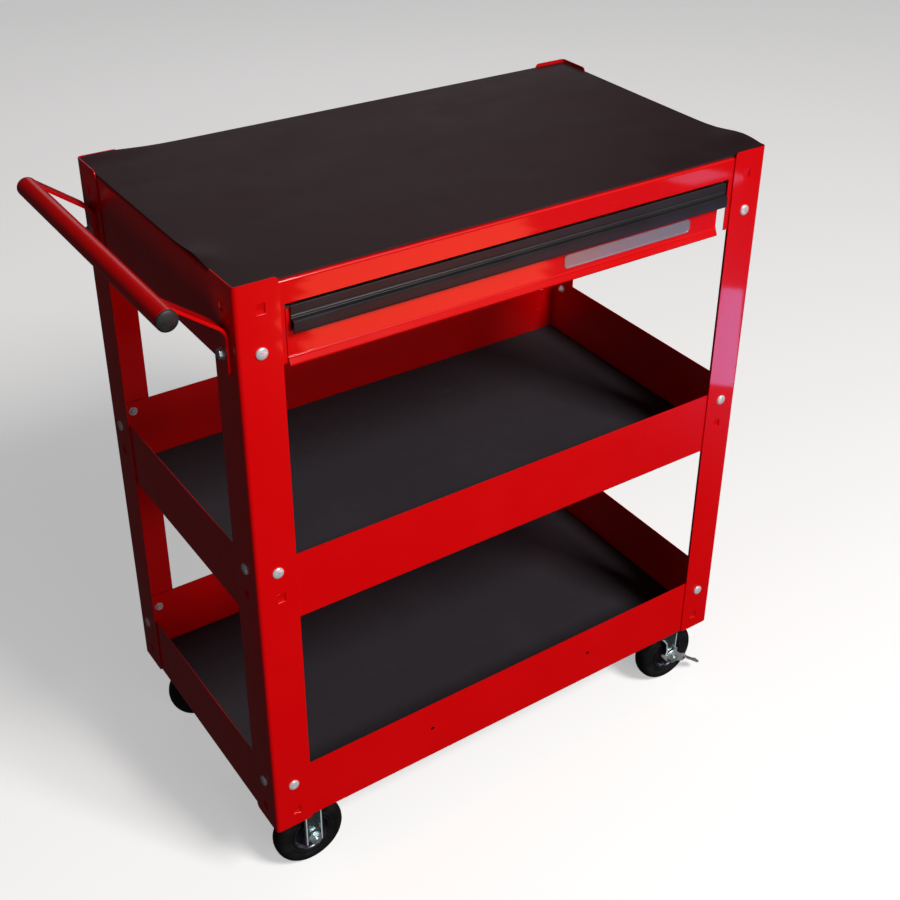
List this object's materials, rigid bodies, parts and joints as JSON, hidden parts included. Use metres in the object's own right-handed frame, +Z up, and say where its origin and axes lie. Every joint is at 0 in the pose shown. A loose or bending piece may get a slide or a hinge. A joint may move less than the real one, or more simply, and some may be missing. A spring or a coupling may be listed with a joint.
{
  "type": "rolling tool chest",
  "caption": "Open sheet-metal tool cart on casters with a shallow drawer under its matted top, deep trays below, and a push handle at one end.",
  "frame": {"origin": "on the floor, under the middle of the whole object, its handle, drawer pull and brake pedals included", "axes": "+Z up, the drawer opens towards -Y, and the push handle is on the -X end"},
  "size_m": [0.8536, 0.4382, 0.92],
  "materials": {
    "red_powder_coat": "gloss red powder coat on steel sheet",
    "black_painted_aluminium": "satin black paint on the drawer pull",
    "mat_rubber": "fine-ribbed dark rubber sheet",
    "tyre_rubber": "black moulded rubber",
    "black_plastic": "matte black moulded plastic",
    "zinc_plate": "bright zinc plate on steel",
    "satin_plate": "satin metal, blank"
  },
  "bodies": {
    "frame": {"axle_front_left": "zinc_plate", "axle_rear_left": "zinc_plate", "handle_bolt_front": "zinc_plate", "handle_bolt_rear": "zinc_plate", "handle_bracket_front": "red_powder_coat", "handle_bracket_rear": "red_powder_coat", "handle_plug_front": "black_plastic", "handle_plug_rear": "black_plastic", "handle_tube": "red_powder_coat", "kingpin_front_right": "zinc_plate", "kingpin_rear_right": "zinc_plate", "lower_liner": "mat_rubber", "lower_tray": "red_powder_coat", "middle_liner": "mat_rubber", "middle_tray": "red_powder_coat", "post_front_left": "red_powder_coat", "post_front_right": "red_powder_coat", "post_rear_left": "red_powder_coat", "post_rear_right": "red_powder_coat", "rigid_housing_front_left": "zinc_plate", "rigid_housing_rear_left": "zinc_plate", "screw_lower_left": "zinc_plate", "screw_lower_right": "zinc_plate", "screw_middle_left": "zinc_plate", "screw_middle_right": "zinc_plate", "screw_top_left": "zinc_plate", "screw_top_right": "zinc_plate", "slide_hanger_left": "zinc_plate", "slide_hanger_right": "zinc_plate", "slide_outer_left": "zinc_plate", "slide_outer_right": "zinc_plate", "swivel_plate_front_right": "zinc_plate", "swivel_plate_rear_right": "zinc_plate", "top_mat": "mat_rubber", "top_pan": "red_powder_coat"},
    "drawer": {"drawer_box": "red_powder_coat", "drawer_front": "red_powder_coat", "drawer_pull": "black_painted_aluminium", "name_plate": "satin_plate", "slide_inner_left": "zinc_plate", "slide_inner_right": "zinc_plate"},
    "slide_middle_left": {"slide_middle_left": "zinc_plate"},
    "slide_middle_right": {"slide_middle_right": "zinc_plate"},
    "wheel_front_left": {"tyre_front_left": "tyre_rubber", "rim_front_left": "zinc_plate"},
    "wheel_front_right": {"tyre_front_right": "tyre_rubber", "rim_front_right": "zinc_plate"},
    "swivel_front_right": {"fork_front_right": "zinc_plate", "axle_front_right": "zinc_plate"},
    "brake_front_right": {"brake_lever_front_right": "zinc_plate"},
    "wheel_rear_left": {"tyre_rear_left": "tyre_rubber", "rim_rear_left": "zinc_plate"},
    "wheel_rear_right": {"tyre_rear_right": "tyre_rubber", "rim_rear_right": "zinc_plate"},
    "swivel_rear_right": {"fork_rear_right": "zinc_plate", "axle_rear_right": "zinc_plate"},
    "brake_rear_right": {"brake_lever_rear_right": "zinc_plate"}
  },
  "joints": [
    {"name": "drawer_slide", "type": "slide", "parent": "frame", "child": "drawer", "axis": [0, -1, 0], "range_m": [0, 0.3]},
    {"name": "slide_middle_left_run", "type": "slide", "parent": "frame", "child": "slide_middle_left", "axis": [0, -1, 0], "range_m": [0, 0.15]},
    {"name": "slide_middle_right_run", "type": "slide", "parent": "frame", "child": "slide_middle_right", "axis": [0, -1, 0], "range_m": [0, 0.15]},
    {"name": "wheel_front_left_spin", "type": "hinge", "parent": "frame", "child": "wheel_front_left", "pos_m": [-0.28229, -0.1684, 0.0508], "axis": [0, 1, 0], "continuous": true},
    {"name": "wheel_rear_left_spin", "type": "hinge", "parent": "frame", "child": "wheel_rear_left", "pos_m": [-0.28229, 0.1756, 0.0508], "axis": [0, 1, 0], "continuous": true},
    {"name": "swivel_front_right_turn", "type": "hinge", "parent": "frame", "child": "swivel_front_right", "pos_m": [0.34971, -0.1684, 0.1137], "axis": [0, 0, 1], "continuous": true},
    {"name": "wheel_front_right_spin", "type": "hinge", "parent": "swivel_front_right", "child": "wheel_front_right", "pos_m": [0.36971, -0.1684, 0.0508], "axis": [0, 1, 0], "continuous": true},
    {"name": "brake_front_right_lift", "type": "hinge", "parent": "swivel_front_right", "child": "brake_front_right", "pos_m": [0.36971, -0.1684, 0.0508], "axis": [0, -1, 0], "range_deg": [0, 26]},
    {"name": "swivel_rear_right_turn", "type": "hinge", "parent": "frame", "child": "swivel_rear_right", "pos_m": [0.34971, 0.1756, 0.1137], "axis": [0, 0, 1], "continuous": true},
    {"name": "wheel_rear_right_spin", "type": "hinge", "parent": "swivel_rear_right", "child": "wheel_rear_right", "pos_m": [0.36971, 0.1756, 0.0508], "axis": [0, 1, 0], "continuous": true},
    {"name": "brake_rear_right_lift", "type": "hinge", "parent": "swivel_rear_right", "child": "brake_rear_right", "pos_m": [0.36971, 0.1756, 0.0508], "axis": [0, -1, 0], "range_deg": [0, 26]}
  ],
  "couplings": [
    {"joint": "slide_middle_left_run", "follows": "drawer_slide", "ratio": 0.5},
    {"joint": "slide_middle_right_run", "follows": "drawer_slide", "ratio": 0.5}
  ]
}
